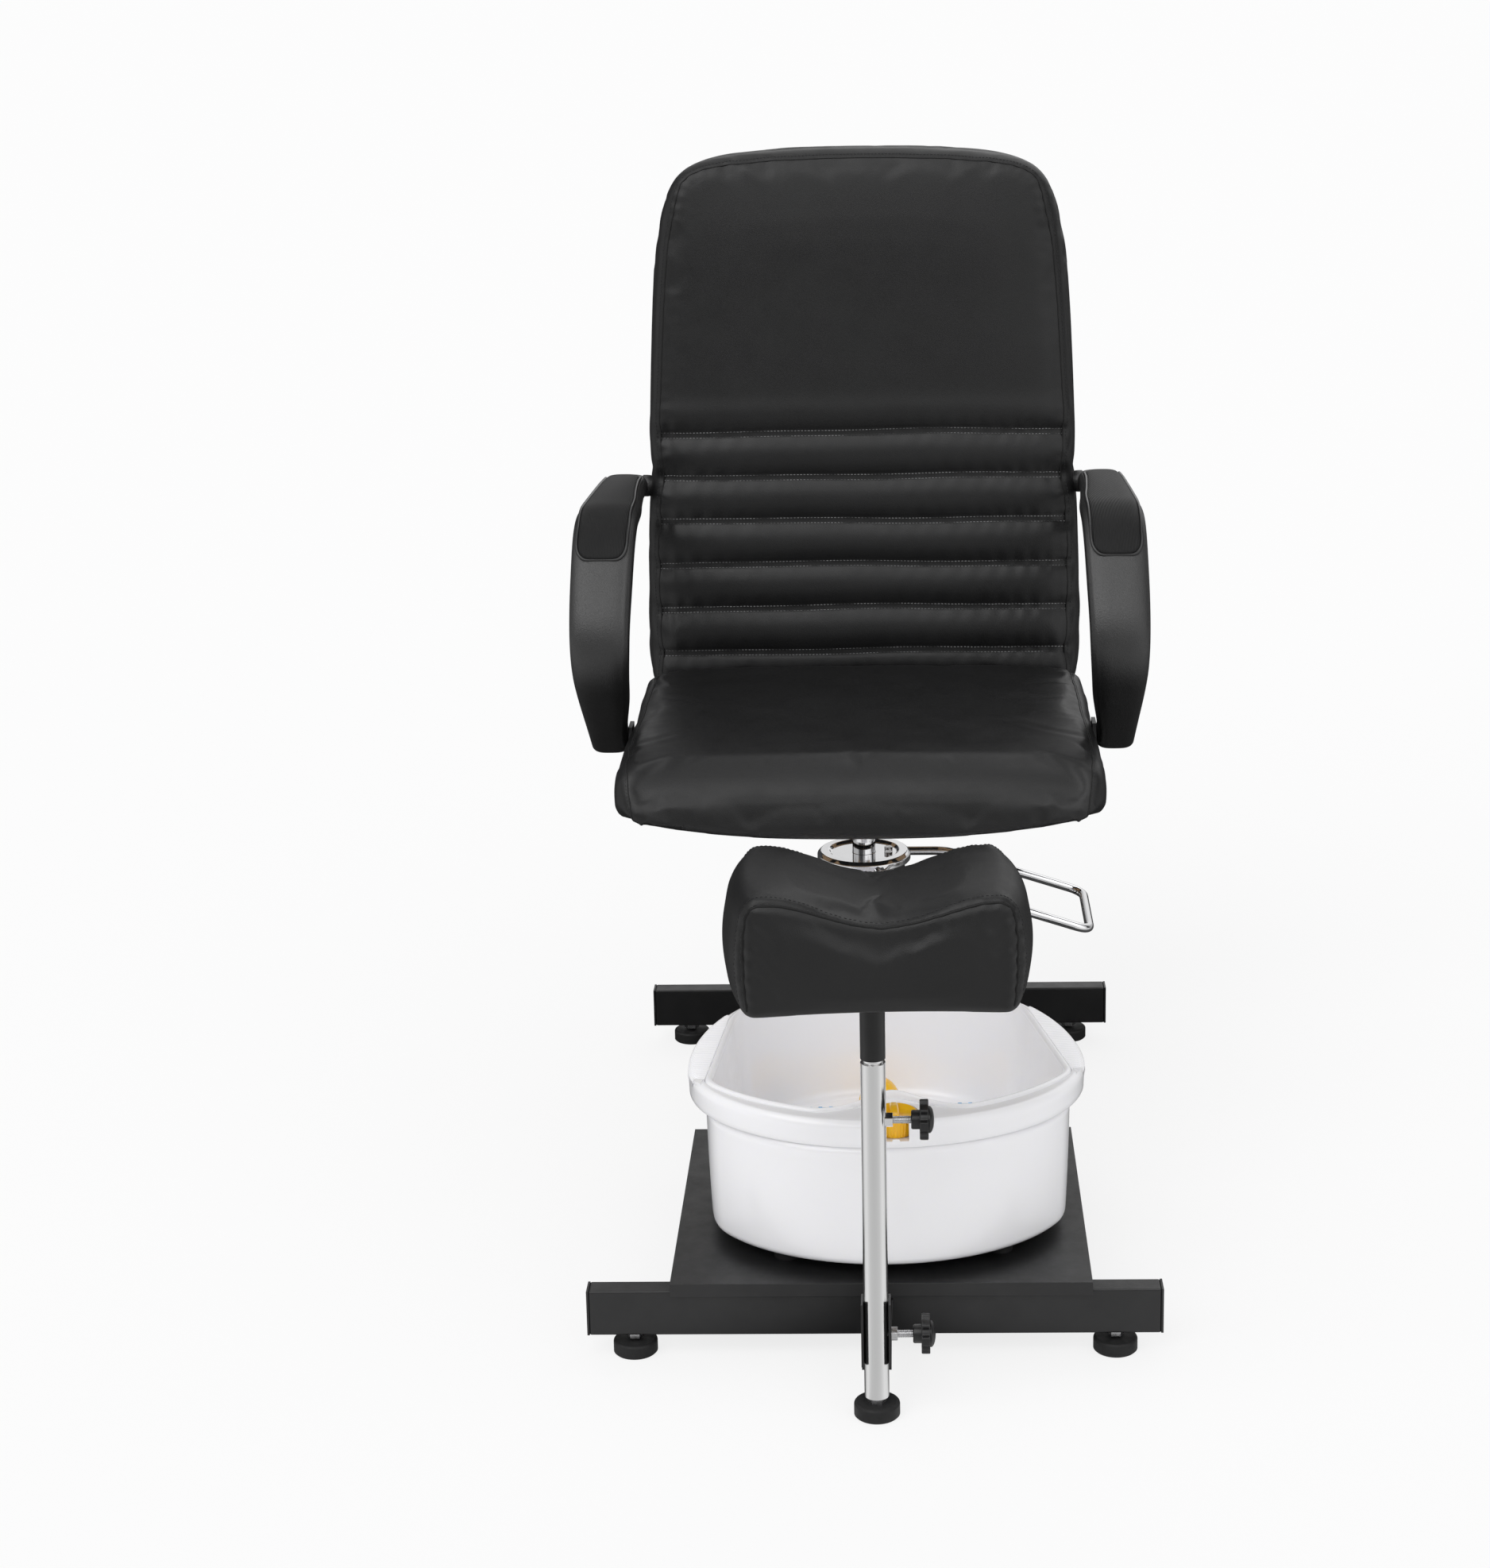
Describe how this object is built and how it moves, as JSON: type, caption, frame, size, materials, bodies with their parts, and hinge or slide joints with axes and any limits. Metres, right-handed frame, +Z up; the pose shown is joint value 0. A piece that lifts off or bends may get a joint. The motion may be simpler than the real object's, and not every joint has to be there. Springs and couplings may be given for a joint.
{
  "type": "pedicure chair",
  "caption": "Padded black swivel chair with loop armrests on a pedal-pumped lift, a steel floor frame, a height-adjustable footrest on a clamped post and a white foot bath on a tray.",
  "frame": {"origin": "centre of the footprint at floor level, on the swivel axis from left to right", "axes": "+Z up from the floor, the front with the footrest faces -Y, +X is to the right in the front view, on the pedal's side"},
  "size_m": [0.672, 1.2569, 1.1866],
  "materials": {
    "frame_steel": "satin black powder coat",
    "chrome": "polished plating",
    "fastener_steel": "zinc-plated steel",
    "black_rubber": "matt moulded rubber",
    "black_plastic": "fine moulded grain",
    "black_leather": "soft grained coated leather cloth",
    "arm_foam": "sand-textured moulded skin",
    "arm_pad_skin": "finely ribbed soft skin",
    "plywood": "raw plywood",
    "back_panel": "black covered board",
    "white_plastic": "glossy moulded plastic",
    "orange_plastic": "glossy tinted plastic",
    "blue_plastic": "glossy light blue plastic",
    "heater_metal": "plain",
    "motor_metal": "plain"
  },
  "bodies": {
    "base": {"front_rail": "frame_steel", "rear_rail": "frame_steel", "rail_end_caps": "black_plastic", "beams": "frame_steel", "tray": "frame_steel", "small_screws": "fastener_steel", "pump_plate": "frame_steel", "post_arm": "frame_steel", "post_cradle": "frame_steel", "cradle_nut": "fastener_steel", "foot_nuts": "fastener_steel", "pump_flange": "frame_steel", "pump_cylinder": "frame_steel", "pump_bolts": "fastener_steel", "pump_cap": "chrome"},
    "front_left_leveller": {"front_left_foot": "black_rubber"},
    "front_right_leveller": {"front_right_foot": "black_rubber"},
    "rear_left_leveller": {"rear_left_foot": "black_rubber"},
    "rear_right_leveller": {"rear_right_foot": "black_rubber"},
    "lift_rod": {"piston": "chrome"},
    "seat": {"seat_plate": "frame_steel", "seat_bolts": "fastener_steel", "seat_board": "plywood", "seat_cushion": "black_leather", "back_bars": "frame_steel", "back_board": "back_panel", "back_cushion": "black_leather", "left_arm": "arm_foam", "right_arm": "arm_foam", "left_arm_pad": "arm_pad_skin", "right_arm_pad": "arm_pad_skin", "arm_bar": "frame_steel", "arm_bolts": "fastener_steel"},
    "pedal": {"pedal_loop": "chrome", "pedal_shaft": "chrome"},
    "outer_tube": {"outer_post": "chrome", "post_nut": "chrome", "post_foot": "black_rubber", "post_ferrule": "fastener_steel"},
    "stem": {"inner_post": "chrome"},
    "footrest": {"footrest_socket": "frame_steel", "footrest_plate": "frame_steel", "footrest_board": "plywood", "footrest_pad": "black_leather", "footrest_screws": "fastener_steel"},
    "upper_screw": {"upper_clamp_screw": "fastener_steel"},
    "upper_knob": {"upper_clamp_knob": "black_plastic"},
    "lower_screw": {"lower_clamp_screw": "fastener_steel"},
    "lower_knob": {"lower_clamp_knob": "black_plastic"},
    "bath": {"bath_shell": "white_plastic", "bath_basin": "white_plastic", "bath_feet": "black_rubber", "massage_plate": "white_plastic", "warming_dome": "orange_plastic", "bath_heater": "heater_metal", "bath_motor": "motor_metal", "cord_gland": "black_rubber"},
    "dial": {"control_dial": "orange_plastic"},
    "left_massage_roller": {"left_roller": "blue_plastic"},
    "right_massage_roller": {"right_roller": "blue_plastic"}
  },
  "joints": [
    {"name": "seat_lift", "type": "slide", "parent": "base", "child": "lift_rod", "axis": [0, 0, 1], "range_m": [-0.065, 0.085]},
    {"name": "seat_swivel", "type": "hinge", "parent": "lift_rod", "child": "seat", "pos_m": [0, 0.21217, 0.45], "axis": [0, 0, 1], "continuous": true},
    {"name": "pedal_pump", "type": "hinge", "parent": "base", "child": "pedal", "pos_m": [0.035, 0.21217, 0.332], "axis": [0, 1, 0], "range_deg": [0, 22], "stiffness_Nm_per_rad": 6, "springref_deg": -28.65},
    {"name": "post_height", "type": "slide", "parent": "base", "child": "outer_tube", "axis": [0, 0, 1], "range_m": [0, 0.025]},
    {"name": "footrest_height", "type": "slide", "parent": "outer_tube", "child": "stem", "axis": [0, 0, 1], "range_m": [0, 0.15]},
    {"name": "footrest_turn", "type": "hinge", "parent": "stem", "child": "footrest", "pos_m": [0.017, -0.53483, 0.464], "axis": [0, 0, 1], "continuous": true},
    {"name": "upper_clamp_turn", "type": "hinge", "parent": "upper_screw", "child": "upper_knob", "pos_m": [0.06, -0.53483, 0.319], "axis": [1, 0, 0], "range_deg": [0, 1080]},
    {"name": "upper_clamp_travel", "type": "slide", "parent": "outer_tube", "child": "upper_screw", "axis": [1, 0, 0], "range_m": [0, 0.00375]},
    {"name": "lower_clamp_turn", "type": "hinge", "parent": "lower_screw", "child": "lower_knob", "pos_m": [0.06, -0.53483, 0.0887], "axis": [1, 0, 0], "range_deg": [0, 1080]},
    {"name": "lower_clamp_travel", "type": "slide", "parent": "base", "child": "lower_screw", "axis": [1, 0, 0], "range_m": [0, 0.00375]},
    {"name": "bath_lift_off", "type": "slide", "parent": "base", "child": "bath", "axis": [1, 0, 0], "range_m": [0, 0.6]},
    {"name": "dial_turn", "type": "hinge", "parent": "bath", "child": "dial", "pos_m": [0.03673, -0.37756, 0.25], "axis": [0, 0, 1], "range_deg": [0, 270]},
    {"name": "left_roller_spin", "type": "hinge", "parent": "bath", "child": "left_massage_roller", "pos_m": [-0.06113, -0.088, 0.1365], "axis": [0.9981, 0.061, 0], "continuous": true},
    {"name": "right_roller_spin", "type": "hinge", "parent": "bath", "child": "right_massage_roller", "pos_m": [0.09857, -0.07823, 0.1365], "axis": [0.9981, 0.061, 0], "continuous": true},
    {"name": "front_left_leveller_turn", "type": "hinge", "parent": "base", "child": "front_left_leveller", "pos_m": [-0.239, -0.39533, 0.02], "axis": [0, 0, 1], "continuous": true},
    {"name": "front_right_leveller_turn", "type": "hinge", "parent": "base", "child": "front_right_leveller", "pos_m": [0.267, -0.39533, 0.02], "axis": [0, 0, 1], "continuous": true},
    {"name": "rear_left_leveller_turn", "type": "hinge", "parent": "base", "child": "rear_left_leveller", "pos_m": [-0.239, 0.49867, 0.02], "axis": [0, 0, 1], "continuous": true},
    {"name": "rear_right_leveller_turn", "type": "hinge", "parent": "base", "child": "rear_right_leveller", "pos_m": [0.267, 0.49867, 0.02], "axis": [0, 0, 1], "continuous": true}
  ],
  "couplings": [
    {"joint": "upper_clamp_turn", "follows": "upper_clamp_travel", "rad_per_m": 5026.5},
    {"joint": "lower_clamp_turn", "follows": "lower_clamp_travel", "rad_per_m": 5026.5}
  ]
}
